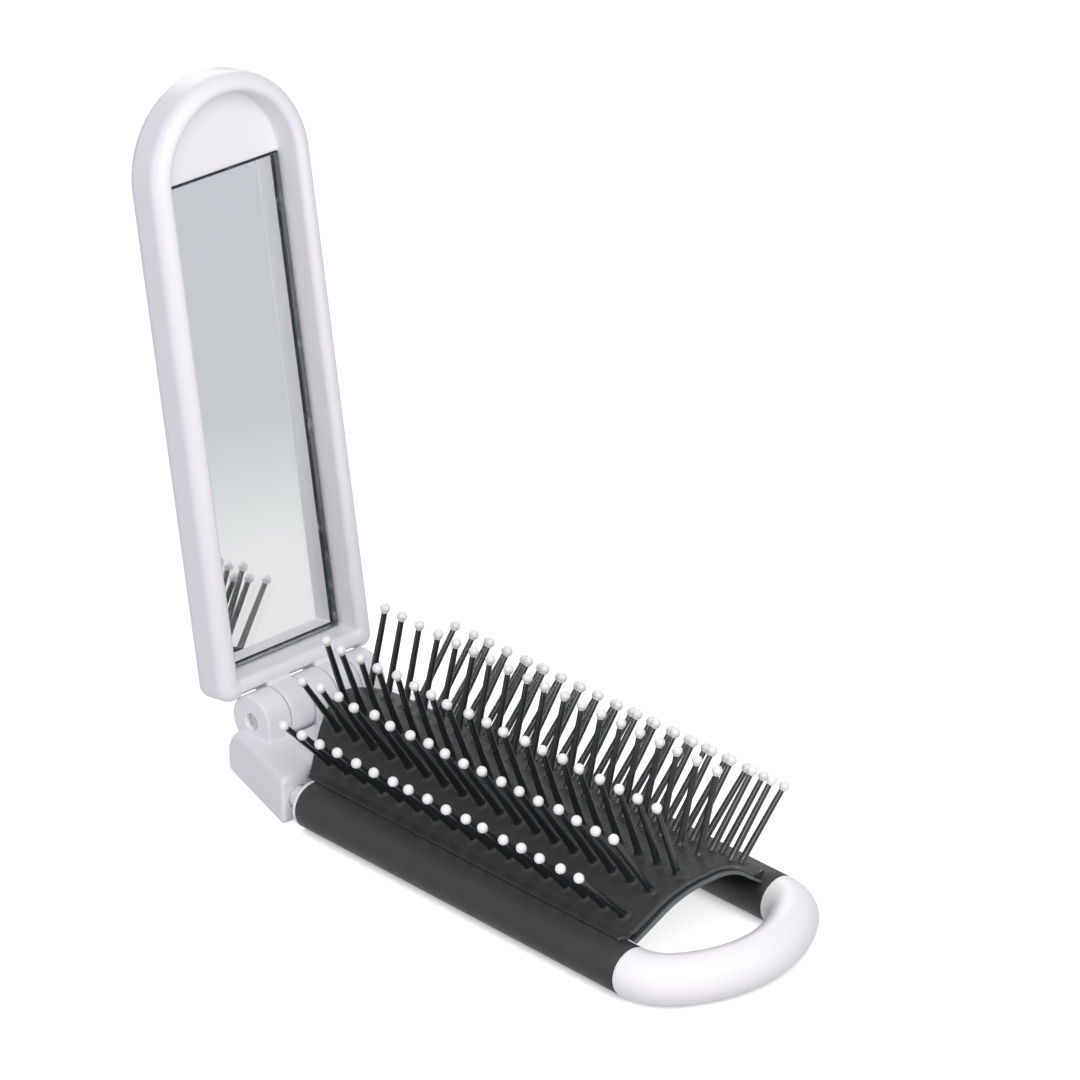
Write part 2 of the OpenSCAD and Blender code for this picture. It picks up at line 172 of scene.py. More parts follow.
steel, tree, bsdf = nodes_of("Ground_steel")
tint(tree, bsdf, noise(tree, 900, 3), [(0.3, (0.5, 0.5, 0.51)), (0.7, (0.66, 0.66, 0.67))])
gloss(tree, bsdf, noise(tree, 3000, 2, 0.5, (1, 0.05, 1)), 0.25, 0.45)
bump(tree, bsdf, noise(tree, 4000, 2, 0.5, (1, 0.04, 1)), 0.4, 0.004)
bsdf.inputs["Metallic"].default_value = 1

silver, tree, bsdf = nodes_of("Mirror_silver")
tint(tree, bsdf, noise(tree, 30, 2), [(0.3, (0.93, 0.945, 0.945)), (0.7, (0.95, 0.96, 0.96))])
gloss(tree, bsdf, noise(tree, 220, 4, 0.7), 0.0, 0.03)
bsdf.inputs["Metallic"].default_value = 1

clear_glass, tree, bsdf = nodes_of("Mirror_glass")
tint(tree, bsdf, noise(tree, 60, 2), [(0.3, (0.985, 0.988, 0.988)), (0.7, (0.992, 0.995, 0.995))])
gloss(tree, bsdf, noise(tree, 220, 4, 0.7), 0.0, 0.004)
bsdf.inputs["Transmission Weight"].default_value = 1
bsdf.inputs["IOR"].default_value = 1.5

edge_glass, tree, bsdf = nodes_of("Mirror_edge")
# Dark with a few pale flecks, which are painted glints
tint(tree, bsdf, noise(tree, 330, 3, 0.65, (1, 1, 0.55)),
     [(0.0, (0.03, 0.042, 0.055)), (0.55, (0.05, 0.066, 0.082)), (0.63, (0.12, 0.15, 0.175)),
      (0.70, (0.50, 0.55, 0.57))])
gloss(tree, bsdf, noise(tree, 700, 3), 0.08, 0.25)
bump(tree, bsdf, noise(tree, 600, 3), 0.6, 0.05)
bsdf.inputs["IOR"].default_value = 1.52


# ---------------------------------------------------------------- mesh helpers

def add_mesh(name, verts, faces, body, mats, node_names, place=None, face_mats=None, angle=40):
    """A piece from points in millimetres, shaded smooth except over sharp edges."""
    mesh = bpy.data.meshes.new(name)
    mesh.from_pydata([tuple(v) for v in np.asarray(verts, float) * MM], [], faces)
    mesh.validate()
    if place is not None:
        mesh.transform(place)
    for m in mats:
        mesh.materials.append(m)
    if face_mats is not None:
        mesh.polygons.foreach_set("material_index", face_mats)
    work = bmesh.new()
    work.from_mesh(mesh)
    bmesh.ops.recalc_face_normals(work, faces=work.faces)
    limit = math.radians(angle)
    for face in work.faces:
        face.smooth = True
    for edge in work.edges:
        if len(edge.link_faces) == 2 and edge.calc_face_angle(0) > limit:
            edge.smooth = False
    work.to_mesh(mesh)
    work.free()
    piece = bpy.data.objects.new(name, mesh)
    bpy.context.scene.collection.objects.link(piece)
    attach(piece, body)
    if node_names:
        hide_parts(*node_names)
    return piece


def bridge(faces, start, rings, n, closed=False):
    """Quads between neighbouring rings of n points, and from the last ring to the first if closed."""
    for i in range(rings if closed else rings - 1):
        j = (i + 1) % rings
        for k in range(n):
            m = (k + 1) % n
            faces.append((start + i * n + k, start + i * n + m, start + j * n + m, start + j * n + k))


def cap_ends(faces, start, rings, n):
    last = start + (rings - 1) * n
    faces.append(tuple(range(start, start + n))[::-1])
    faces.append(tuple(range(last, last + n)))


def field_mesh(field, low, high, step):
    """Surface of a signed distance field as quads: one vertex per crossed cell, moved onto the surface."""
    low, high = np.array(low, float), np.array(high, float)
    count = np.ceil((high - low) / step).astype(int) + 1
    axes = [low[i] + step * np.arange(count[i]) for i in range(3)]
    grid = np.meshgrid(*axes, indexing="ij")
    value = field(*grid)
    inside = value < 0
    corners = [(a, b, c) for a in (0, 1) for b in (0, 1) for c in (0, 1)]
    n0, n1, n2 = value.shape
    total = sum(inside[a:n0 - 1 + a, b:n1 - 1 + b, c:n2 - 1 + c].astype(np.int8) for a, b, c in corners)
    active = (total > 0) & (total < 8)
    index = np.full(active.shape, -1, np.int64)
    cell = np.argwhere(active)
    index[active] = np.arange(len(cell))
    point, weight = np.zeros((len(cell), 3)), np.zeros(len(cell))
    for a in corners:
        for axis in range(3):
            if a[axis]:
                continue
            b = tuple(v + (k == axis) for k, v in enumerate(a))
            fa = value[cell[:, 0] + a[0], cell[:, 1] + a[1], cell[:, 2] + a[2]]
            fb = value[cell[:, 0] + b[0], cell[:, 1] + b[1], cell[:, 2] + b[2]]
            cross = (fa < 0) != (fb < 0)
            t = np.where(cross, fa / np.where(cross, fa - fb, 1), 0)
            spot = np.array(a, float) + t[:, None] * np.eye(3)[axis]
            point[cross] += spot[cross]
            weight[cross] += 1
    verts = low + step * (cell + point / weight[:, None])
    # Newton steps along the field's slope, measured over h
    h = 0.02
    for _ in range(3):
        x, y, z = verts.T
        f = field(x, y, z)
        g = np.stack([field(x + h, y, z) - field(x - h, y, z), field(x, y + h, z) - field(x, y - h, z),
                      field(x, y, z + h) - field(x, y, z - h)], 1) / (2 * h)
        move = g * (f / np.maximum((g ** 2).sum(1), 0.2))[:, None]
        size = np.linalg.norm(move, axis=1, keepdims=True)
        verts = verts - move * np.minimum(1, 0.5 * step / np.maximum(size, 1e-9))
    faces = []
    for axis in range(3):
        u, v = (axis + 1) % 3, (axis + 2) % 3
        here = [slice(None)] * 3
        there = [slice(None)] * 3
        here[axis], there[axis] = slice(None, -1), slice(1, None)
        flip = inside[tuple(here)] != inside[tuple(there)]
        spots = np.argwhere(flip)
        keep = ((spots[:, u] > 0) & (spots[:, u] < value.shape[u] - 1)
                & (spots[:, v] > 0) & (spots[:, v] < value.shape[v] - 1))
        spots = spots[keep]
        out = inside[tuple(here)][tuple(spots.T)]
        quad = []
        for du, dv in ((-1, -1), (0, -1), (0, 0), (-1, 0)):
            q = spots.copy()
            q[:, u] += du
            q[:, v] += dv
            quad.append(index[tuple(q.T)])
        quad = np.stack(quad, 1)
        quad[~out] = quad[~out][:, ::-1]
        faces.append(quad)
    return verts, np.concatenate(faces).tolist()


def both(a, b, r=0.0):
    """Intersection of two fields with an edge of radius r."""
    if r == 0:
        return np.maximum(a, b)
    u, v = np.maximum(a + r, 0), np.maximum(b + r, 0)
    return np.minimum(np.maximum(a, b), -r) + np.sqrt(u * u + v * v)


def join(a, b, r=0.0):
    """Union of two fields with a fillet of radius r."""
    return -both(-a, -b, r)


def minus(a, b, r=0.0):
    return both(a, -b, r)


def slab(v, low, high):
    return np.abs(v - (low + high) / 2) - (high - low) / 2


def box2(u, v, hu, hv):
    """Distance to a rectangle centred on the origin."""
    a, b = np.abs(u) - hu, np.abs(v) - hv
    return np.sqrt(np.maximum(a, 0) ** 2 + np.maximum(b, 0) ** 2) + np.minimum(np.maximum(a, b), 0)


def arch2(y, z, half, foot, corner):
    """Distance to an outline with a straight foot and a round top of radius half."""
    top = np.sqrt(y ** 2 + (z - ARC_U) ** 2) - half
    h = (ARC_U - foot) / 2 + 10
    body = box2(y, z - (foot + h), half - corner, h - corner) - corner
    return np.where(z > ARC_U, top, body)


# ---------------------------------------------------------------- lid

def knuckle_side(y, own):
    """Distance past the sides of the lid's two knuckles, or of the block's three."""
    ay = np.abs(y)
    if own:
        return np.abs(ay - KNUCKLE_PITCH) - KNUCKLE_HALF
    return np.minimum(ay, np.abs(ay - 2 * KNUCKLE_PITCH)) - KNUCKLE_HALF


def lid_field(x, y, z):
    """The lid in its own place: Z runs up it and X out of the mirror."""
    slot_edge, knuckle_edge, recess_edge, bore_edge, recess_corner = 0.25, 0.2, 1.3, 0.15, 0.6
    tongue_sunk = 1.5
    shell = both(arch2(y, z, LID_W / 2, LID_FOOT, LID_EDGE), slab(x, -RIM_BACK, RIM_FRONT), LID_EDGE)
    axis = np.hypot(x - LID_SET, z)
    room = np.maximum(axis - SLOT_R, knuckle_side(y, False) - SIDE_GAP)
    shell = minus(shell, room, slot_edge)
    tongue = np.maximum(slab(x, LID_SET - KNUCKLE_R, RIM_FRONT), slab(z, 0, LID_FOOT + tongue_sunk))
    tab = both(np.minimum(axis - KNUCKLE_R, tongue), knuckle_side(y, True), knuckle_edge)
    solid = join(shell, tab, knuckle_edge)
    recess = np.maximum(arch2(y, z, RECESS_HALF, RECESS_FOOT, recess_corner), PANEL_X - x)
    solid = minus(solid, recess, recess_edge)
    pocket = np.maximum(box2(y, z - (RECESS_FOOT + POCKET_LEN / 2), RECESS_HALF, POCKET_LEN / 2),
                        MIRROR_X - MIRROR_T - GLUE_T - x)
    solid = minus(solid, pocket)
    return minus(solid, axis - LID_BORE_R, bore_edge)


# ---------------------------------------------------------------- hinge block

def vault(y, z, depth):
    """Distance below the vault's layer at that depth, positive outside it."""
    y = np.abs(y)
    arc = np.sqrt(y ** 2 + (z - ARCH_Z) ** 2) - (BED_R - depth)
    line = BEND_SIN * y + BEND_COS * (z - ARCH_Z) - (BED_R - depth)
    return np.where(BEND_SIN * (z - ARCH_Z) > BEND_COS * y, arc, line)


def rear_x(y):
    return BED_REAR + REAR_BOW * np.abs(y) ** BOW_POWER


def front_x(y):
    return BED_X - FRONT_BOW * np.abs(y) ** BOW_POWER


def block_field(x, y, z):
    ay = np.abs(y)
    # Seen from above: straight sides that widen forwards, each a direction and a distance, and the rear end
    side_x, side_y, side_out = -0.2917, 0.9565, 13.2
    rear, rear_corner = -2.1, 3.2
    body = both(side_x * x + side_y * ay - side_out, rear - x, rear_corner)
    # Seen from the side: a steep rear slope round a point, and a nearly level top
    slope_x, slope_z, slope_back, slope_up, slope_out = -0.5, 3.2, 0.697, 0.717, 1.6
    top, top_x, top_rise, top_corner, top_edge = 8.4, 3.2, 0.012, 1.6, 1.5
    slope = slope_up * (z - slope_z) - slope_back * (x - slope_x) - slope_out
    body = both(body, both(slope, z - top - top_rise * (x - top_x), top_corner), top_edge)
    front_edge, foot_edge = 0.9, 0.5
    body = both(body, x - BLOCK_FRONT, front_edge)
    body = both(body, -z, foot_edge)
    # Three ears with upright fronts, and room for the lid's two knuckles
    knuckle_edge, ear_fillet, slot_edge = 0.2, 0.4, 0.15
    axis = np.hypot(x - HINGE_X, z - HINGE_Z)
    front = np.maximum(slab(x, HINGE_X, HINGE_X + KNUCKLE_R), slab(z, HINGE_Z / 2, HINGE_Z))
    ear = both(np.minimum(axis - KNUCKLE_R, front), knuckle_side(y, False), knuckle_edge)
    body = join(body, ear, ear_fillet)
    body = minus(body, np.maximum(axis - SLOT_R, knuckle_side(y, True) - SIDE_GAP), slot_edge)
    # Arched wall under the bed's rear end
    arch = vault(y, z, SKIN_T + HEAD_T + CARRIER_T + CLEAR)
    along = slab(x, rear_x(y) - WALL_LEAD, rear_x(y) + (WALL_T - WALL_LEAD))
    wall = both(np.maximum(arch, along), np.maximum(ay - WALL_Y, RAIL_R / 2 - z), knuckle_edge)
    body = np.minimum(body, wall)
    body = minus(body, axis - BLOCK_BORE_R, knuckle_edge)
    socket = np.maximum(np.hypot(ay - RAIL_Y, z - RAIL_R) - BORE_R, LEG_X - x)
    return np.maximum(body, -socket)


step = 0.3
verts, faces = field_mesh(lid_field, (-4.5, -18, -5.6), (11.7, 18, 111.6), step)
add_mesh("Lid_moulding", verts, faces, "lid", [white], ["lid_shell"], LID_PLACE, angle=180)
verts, faces = field_mesh(block_field, (-3.2, -21, -1), (24.4, 21, 16.6), step)
verts[:, 2] = np.maximum(verts[:, 2], 0)
add_mesh("Hinge_block_moulding", verts, faces, "brush", [white], ["hinge_block"], angle=180)


# ---------------------------------------------------------------- mirror

def mirror_piece():
    """Glass plate, ring by ring: silvered back, dark ground sides, narrow ground edge and clear face."""
    ground_t, ground_w = 0.3, 0.4
    # The ground edge is narrower at the top and at the foot
    top_share, foot_share = 0.3, 0.6
    rings = [(0.0, MIRROR_X - MIRROR_T), (0.0, MIRROR_X - ground_t), (ground_w, MIRROR_X)]
    verts, faces = [], []
    for inset, x in rings:
        for y, z in ((-1, 0), (1, 0), (1, 1), (-1, 1)):
            end = inset * (top_share if z else foot_share)
            verts.append((x, y * (MIRROR_HALF - inset), MIRROR_FOOT + (MIRROR_LEN - end if z else end)))
    for r in range(2):
        for k in range(4):
            a, b = 4 * r + k, 4 * r + (k + 1) % 4
            faces.append((a, b, b + 4, a + 4))
    faces += [(0, 3, 2, 1), (8, 9, 10, 11)]
    return verts, faces, [2] * 8 + [0, 1]


verts, faces, mats = mirror_piece()
add_mesh("Mirror_plate", verts, faces, "lid", [silver, clear_glass, edge_glass], ["mirror_glass"],
         LID_PLACE, mats, angle=1)


# ---------------------------------------------------------------- frame tube and sleeves

def sweep(path, radii, segments):
    """A closed tube of circles along a path in the XY plane, at rail height."""
    path = np.array(path, float)
    tangent = np.gradient(path, axis=0)
    tangent /= np.linalg.norm(tangent, axis=1, keepdims=True)
    side = np.stack([-tangent[:, 1], tangent[:, 0]], 1)
    verts, faces = [], []
    for p, s, r in zip(path, side, radii):
        for k in range(segments):
            a = 2 * math.pi * k / segments
            verts.append((p[0] + s[0] * r * math.cos(a), p[1] + s[1] * r * math.cos(a),
                          RAIL_R + r * math.sin(a)))
    bridge(faces, 0, len(path), segments)
    cap_ends(faces, 0, len(path), segments)
    return verts, faces


def loop_path():
    """Centre line of the loop from +Y to -Y: corner arc, flatter front arc, corner arc."""
    corner_r, front_r = 1.5 * REACH - RAIL_Y / 2, 2 * RAIL_Y - REACH
    a0 = math.atan2(4, 3)
    half = []
    for t in np.linspace(math.pi / 2, math.pi / 2 - a0, 30):
        half.append((JOINT_X + corner_r * math.cos(t), RAIL_Y - corner_r + corner_r * math.sin(t)))
    for t in np.linspace(math.pi / 2 - a0, 0, 34)[1:]:
        half.append((JOINT_X + REACH - front_r + front_r * math.cos(t), front_r * math.sin(t)))
    return half + [(x, -y) for x, y in half[-2::-1]]


# Places along a leg and its radius there: plain leg, collar, plain leg, rounded shoulder of the loop
leg_profile = [(LEG_X + 0.3, LEG_R), (SLEEVE_X - COLLAR - 0.02, LEG_R), (SLEEVE_X - COLLAR, LEG_R + 0.02),
               (SLEEVE_X - COLLAR + 0.01, RAIL_R - 0.12), (SLEEVE_X - COLLAR + 0.12, RAIL_R),
               (SLEEVE_X - 0.12, RAIL_R), (SLEEVE_X - 0.01, RAIL_R - 0.12), (SLEEVE_X, LEG_R + 0.02),
               (SLEEVE_X + 0.02, LEG_R), (40, LEG_R), (70, LEG_R), (JOINT_X - 0.02, LEG_R),
               (JOINT_X, RAIL_R - 0.22), (JOINT_X + 0.06, RAIL_R - 0.07), (JOINT_X + 0.2, RAIL_R)]
leg = [(x, RAIL_Y) for x, _ in leg_profile]
leg_radii = [r for _, r in leg_profile]
# The loop's first points lie so close to the shoulder that they are left out
shoulder = 0.45
loop = [p for p in loop_path() if p[0] >= JOINT_X + shoulder]
path = leg + loop + [(x, -y) for x, y in leg[::-1]]
verts, faces = sweep(path, leg_radii + [RAIL_R] * len(loop) + leg_radii[::-1], 64)
add_mesh("Loop_moulding", verts, faces, "brush", [loop_white], ["loop_frame"], angle=50)


def sleeve_piece(side):
    """Tube with rounded mouths."""
    r, gap = RAIL_R, 0.02
    x0, x1 = SLEEVE_X + gap, JOINT_X - gap
    profile = [(x0, BORE_R), (x0, r - 0.35), (x0 + 0.1, r - 0.12), (x0 + 0.35, r)]
    profile += [(x, r) for x in np.linspace(x0 + 3, x1 - 3, 12)]
    profile += [(x1 - 0.35, r), (x1 - 0.1, r - 0.12), (x1, r - 0.35), (x1, BORE_R)]
    verts, faces, n = [], [], 64
    for x, q in profile:
        for k in range(n):
            a = 2 * math.pi * k / n
            verts.append((x, side * RAIL_Y + q * math.cos(a), RAIL_R + q * math.sin(a)))
    bridge(faces, 0, len(profile), n, closed=True)
    return verts, faces


for side, label in ((1, "left"), (-1, "right")):
    verts, faces = sleeve_piece(side)
    add_mesh("Grip_" + label, verts, faces, "brush", [sleeve_black],
             ["grip_sleeve_" + label])


# ---------------------------------------------------------------- rows

ROW_SIDE = (-1, -1, -1, 1, 1, 1)
ROW_PLACE = (2, 1, 0, 0, 1, 2)
ROW_FRONT = (5.9, 4.5, 3.1, 4.9, 2.4, 4.7)
ROW_LEAN = (0.8, 0.5, 3, -1.5, 5, 0)
TILT = (16, 32.3, 43.3)
LENGTH = (14.9, 14.8, 14.7)
ROW_FIRST, ROW_STEP = 3.3, 4.65
# Room behind a row's last pin, and its growth towards the sides
ROW_REAR_GAP, ROW_REAR_GROWTH = 1.5, 0.12


def row_y(i):
    return ROW_FIRST + ROW_STEP * ROW_PLACE[i]


def bed_z(y):
    y = abs(y)
    if y < BEND_Y:
        return ARCH_Z + math.sqrt(BED_R ** 2 - y ** 2)
    return ARCH_Z + BEND_COS * BED_R - (y - BEND_Y) * BEND_SLOPE


def bed_slope(y):
    return math.asin(min(abs(y) / BED_R, BEND_SIN))


def row_bases(i):
    last = BED_X - ROW_FRONT[i]
    limit = float(rear_x(row_y(i))) + ROW_REAR_GAP + ROW_REAR_GROWTH * row_y(i)
    count = int((last - limit) / PITCH + 0.01) + 1
    return [(last - k * PITCH, ROW_SIDE[i] * row_y(i), bed_z(row_y(i))) for k in range(count)]


def frames_for(i):
    """Each pin's base and axes, with the small unevenness of moulded and used pins."""
    out = []
    for x, y, z in row_bases(i):
        # The outer rows only lean inwards, so that they stay within the brush's width
        low, high, sway = (-1.3, -0.4, 0.05) if ROW_PLACE[i] == 2 else (-0.8, 0.8, 0.18)
        tilt = math.radians(TILT[ROW_PLACE[i]] + ROW_LEAN[i] + rng.uniform(low, high))
        along = math.radians(rng.uniform(-1.0, 1.0))
        axis = Vector((math.sin(along), ROW_SIDE[i] * math.sin(tilt), math.cos(tilt))).normalized()
        u = Vector((1, 0, 0)) - axis * axis.x
        u.normalize()
        out.append((Vector((x, y, z)), axis, u, axis.cross(u),
                    rng.uniform(-sway, sway), rng.uniform(-0.15, 0.15)))
    return out


def lathe(verts, faces, profile, place, n):
    """Adds a turned shape: profile of (height, radius), place(height) gives centre and cross axes."""
    start = len(verts)
    for h, r in profile:
        c, u, v = place(h)
        for k in range(n):
            a = 2 * math.pi * k / n
            verts.append(tuple(c + u * (r * math.cos(a)) + v * (r * math.sin(a))))
    bridge(faces, start, len(profile), n)
    cap_ends(faces, start, len(profile), n)


def rows():
    """Tapered pins with a collar at the skin, and their ball tips, which close round the pins' ends."""
    ball_r = 0.88
    for i in range(6):
        length = LENGTH[ROW_PLACE[i]]
        pin_verts, pin_faces, tip_verts, tip_faces = [], [], [], []
        for base, axis, u, v, bow, bow2 in frames_for(i):
            def place(h):
                # A slight bow that leaves the base straight
                t = max(h, 0) / length
                return base + axis * h + (u * bow2 + v * bow) * (t * t), u, v
            root = -(SKIN_T + 0.1)
            # Heights and radii: collar at the skin, taper, end inside the tip
            pin = [(root, 0.75), (-0.05, 0.75), (0.3, 0.82), (0.5, 0.76), (0.75, 0.64)]
            pin += [(h, 0.62 - 0.12 * h / length) for h in np.linspace(1.3, length - 0.9, 9)]
            pin += [(length + 0.1, 0.46)]
            lathe(pin_verts, pin_faces, pin, place, 14)
            # Rounded lip round the pin, then the ball
            ball = [(length - 0.86, 0.53), (length - 0.77, 0.57)]
            ball += [(length - ball_r * math.cos(a), ball_r * math.sin(a))
                     for a in np.linspace(0.75, math.pi - 0.12, 11)]
            lathe(tip_verts, tip_faces, ball, place, 18)
        row = i + 1
        add_mesh("Pins_row_%d" % row, pin_verts, pin_faces, "brush", [pin_black],
                 ["bristle_row_%d" % row])
        add_mesh("Tips_row_%d" % row, tip_verts, tip_faces, "brush", [tip_white],
                 ["tip_row_%d" % row], angle=80)


rows()


# ---------------------------------------------------------------- bed

def profile_point(s, depth):
    """Point on the right half of the vault at arc length s from the crown, at a depth below its face."""
    if s <= BEND_ARC:
        a = s / BED_R
        r = BED_R - depth
        return r * math.sin(a), ARCH_Z + r * math.cos(a), math.sin(a), math.cos(a)
    t = s - BEND_ARC
    y, z = BEND_Y + BEND_COS * t, ARCH_Z + BEND_COS * BED_R - BEND_SIN * t
    return y - BEND_SIN * depth, z - BEND_COS * depth, BEND_SIN, BEND_COS


def flank_end_at(y):
    """Arc length from the crown to the place on the flank that lies y from the middle."""
    return BEND_ARC + (y - BEND_Y) / BEND_COS


def skin_piece():
    """Skin with a raised collar round each pin and a short bead between neighbours."""
    flank_end = flank_end_at(14.75)
    fine = 0.34
    ss = np.linspace(0, flank_end, int(flank_end / fine) + 1)
    outer = [profile_point(s, 0) for s in ss]
    inner = [profile_point(min(s, flank_end - 0.9), SKIN_T) for s in ss]
    # Lip on the crown of the rail: side, height and normal of each point of its outer and inner face
    outer += [(15.3, 8.72, 0.1, 0.99), (16.1, 8.74, 0, 1), (16.42, 8.68, 0.5, 0.86), (16.5, 8.55, 1, 0)]
    inner += [(14.75, 7.95, 0, 0), (15.4, 8.19, 0, 0), (16.0, 8.36, 0, 0), (16.47, 8.43, 0, 0)]
    full = [(-y, z, -ny, nz, w) for (y, z, ny, nz), w in zip(outer[:0:-1], inner[:0:-1])]
    full += [(y, z, ny, nz, w) for (y, z, ny, nz), w in zip(outer, inner)]
    sign = [-1] * (len(outer) - 1) + [1] * len(outer)
    m = len(full)
    nx = int((BED_X - BED_REAR) / fine)
    pos = np.array([(f[0], f[1]) for f in full])
    nrm = np.array([(f[2], f[3]) for f in full])
    low = np.array([(s * f[4][0], f[4][1]) for f, s in zip(full, sign)])
    x0, x1 = rear_x(pos[:, 0]), front_x(pos[:, 0])
    t = np.linspace(0, 1, nx + 1)[:, None]
    X = x0 + (x1 - x0) * t
    # Height of the moulded detail over the face: pin collars with a flat middle, beads between them
    collar_h, collar_r, collar_soft, bead_h = 0.36, 0.85, 0.26, 0.07
    arc = np.cumsum(np.r_[0, np.linalg.norm(np.diff(pos, axis=0), axis=1)])
    arc -= arc[len(outer) - 1]
    rise = np.zeros_like(X)
    for i in range(6):
        y = ROW_SIDE[i] * row_y(i)
        a = np.interp(y, pos[:, 0], arc)
        for bx, _, _ in row_bases(i):
            d = np.hypot(X - bx, arc[None, :] - a)
            fall = collar_h * np.exp(-((d - collar_r) / collar_soft) ** 2)
            rise += fall * (d > collar_r) + collar_h * (d <= collar_r)
            d2 = np.hypot((X - bx - PITCH / 2) / 0.55, (arc[None, :] - a) / 1.6)
            rise += bead_h * np.exp(-d2 ** 2 * 2.2)
    # The ends are softly rounded
    end = np.minimum(X - x0, x1 - X)
    edge_drop, edge_w = 0.16, 0.3
    rise -= edge_drop * np.clip(1 - end / edge_w, 0, 1) ** 2
    # No detail on the lips
    flat = np.ones(m)
    flat[:5] = flat[-5:] = 0
    rise *= flat
    top = np.stack([X, pos[:, 0] + nrm[:, 0] * rise, pos[:, 1] + nrm[:, 1] * rise], -1)
    # The skin thickens downwards into a bead at its front edge
    bead_t, bead_w = 0.22, 1.0
    bead = bead_t * np.clip(1 - (x1 - X) / bead_w, 0, 1) ** 0.5 * flat
    under = np.stack([X, low[:, 0] - nrm[:, 0] * bead, low[:, 1] - nrm[:, 1] * bead], -1)
    verts = np.concatenate([top.reshape(-1, 3), under.reshape(-1, 3)])
    i, j = np.meshgrid(np.arange(nx), np.arange(m - 1), indexing="ij")
    a = (i * m + j).ravel()
    # Numbers of the under side's points follow those of the top
    off = (nx + 1) * m
    quads = [np.stack([a, a + m, a + m + 1, a + 1], 1), np.stack([a, a + 1, a + m + 1, a + m], 1) + off]
    k = np.arange(m - 1)
    for base in (0, nx * m):
        quads.append(np.stack([base + k, base + k + 1, off + base + k + 1, off + base + k], 1))
    k = np.arange(nx)
    for base in (0, m - 1):
        here, ahead = base + k * m, base + (k + 1) * m
        quads.append(np.stack([here, off + here, off + ahead, ahead], 1))
    quads = np.concatenate(quads)
    # The front edge has a lighter grey: painted light on the edge
    front = (X[-1:] - edge_w <= X).ravel()
    front = np.concatenate([front, front])
    return verts, quads.tolist(), front[quads].all(1).astype(int).tolist()


verts, faces, mats = skin_piece()
add_mesh("Bed_skin_moulding", verts, faces, "brush", [skin_black, lit_edge_grey], ["bed_skin"],
         face_mats=mats, angle=60)


def carrier_piece():
    """Plate under the skin, with its front edge standing proud and softly broken."""
    depth = SKIN_T + HEAD_T
    ss = np.linspace(0, flank_end_at(14.9), 60)
    right = [(profile_point(s, depth)[:2], profile_point(s, depth + CARRIER_T)[:2]) for s in ss]
    pts = [((-a[0], a[1]), (-b[0], b[1])) for a, b in right[:0:-1]] + right
    m = len(pts)
    verts, faces, mats = [], [], []
    # Shares of the length from the rear end forward, and how much each face draws in there
    sections = ((0, 0), (0.02, 0), (0.5, 0), (0.993, 0), (0.998, 0), (1, 0.1))
    for t, cutback in sections:
        for a, b in pts:
            x0, x1 = float(rear_x(a[0])) + CARRIER_LEAD, float(front_x(a[0])) + STEP
            x = x0 + (x1 - x0) * t
            mid = ((a[0] + b[0]) / 2, (a[1] + b[1]) / 2)
            k = cutback / (CARRIER_T / 2)
            verts.append((x, a[0] + (mid[0] - a[0]) * k, a[1] + (mid[1] - a[1]) * k))
            verts.append((x, b[0] + (mid[0] - b[0]) * k, b[1] + (mid[1] - b[1]) * k))
    n = len(sections)
    # The last stretches have the lighter grey of the painted light on the front edge
    for i in range(n - 1):
        for j in range(m - 1):
            a = (i * m + j) * 2
            b = ((i + 1) * m + j) * 2
            faces += [(a, b, b + 2, a + 2), (a + 1, a + 3, b + 3, b + 1)]
            mats += [int(i >= 3), int(i >= 4)]
        for j in (0, m - 1):
            a = (i * m + j) * 2
            b = ((i + 1) * m + j) * 2
            faces.append((a, a + 1, b + 1, b))
            mats.append(0)
    # End faces: the rear one plain, the front one in the lighter grey of painted light
    for i in (0, n - 1):
        for j in range(m - 1):
            a = (i * m + j) * 2
            faces.append((a, a + 2, a + 3, a + 1))
            mats.append(int(i > 0))
    return verts, faces, mats


verts, faces, mats = carrier_piece()
add_mesh("Carrier_plate", verts, faces, "brush", [plate_black, lit_edge_grey], ["pin_carrier"],
         face_mats=mats, angle=50)


def head_pieces():
    """The pins' flat heads, between skin and plate with a gap on either side."""
    verts, faces = [], []
    gap, head_r, edge = 0.03, 0.9, 0.1
    depth = SKIN_T + gap
    thick = HEAD_T - 2 * gap
    profile = [(0, head_r - edge), (gap, head_r), (thick - gap, head_r), (thick, head_r - edge)]
    for i in range(6):
        for x, y, z in row_bases(i):
            s = math.copysign(1, y)
            slope = bed_slope(y)
            normal = Vector((0, s * math.sin(slope), math.cos(slope)))
            u, v = Vector((1, 0, 0)), normal.cross(Vector((1, 0, 0)))
            base = Vector((x, y, z)) - normal * depth

            def place(h, base=base, normal=normal, u=u, v=v):
                return base - normal * h, u, v
            lathe(verts, faces, profile, place, 20)
    return verts, faces


verts, faces = head_pieces()
add_mesh("Pin_heads", verts, faces, "brush", [pin_black], [])


# ---------------------------------------------------------------- carried-over nodes

def finish_node(name, mat):
    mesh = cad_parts[name].data
    mesh.materials.clear()
    mesh.materials.append(mat)


finish_node("hinge_pin", steel)
finish_node("mirror_adhesive", foam)


# ---------------------------------------------------------------- stage, light and camera

FLOOR_HALF = 6.0
# How near to the floor a thing has to be to cast the painted contact shadow, in metres
CONTACT = 3 * MM
# The floor's painted reflection in the mirror fades from one colour to the other between these distances, in
# metres
FADE_NEAR, FADE_FAR = 0.15, 0.3
FADE_WAY = (0.77, 0.63, 0)
PALE, COOL = (0.85, 0.85, 0.85), (0.6, 0.63, 0.66)


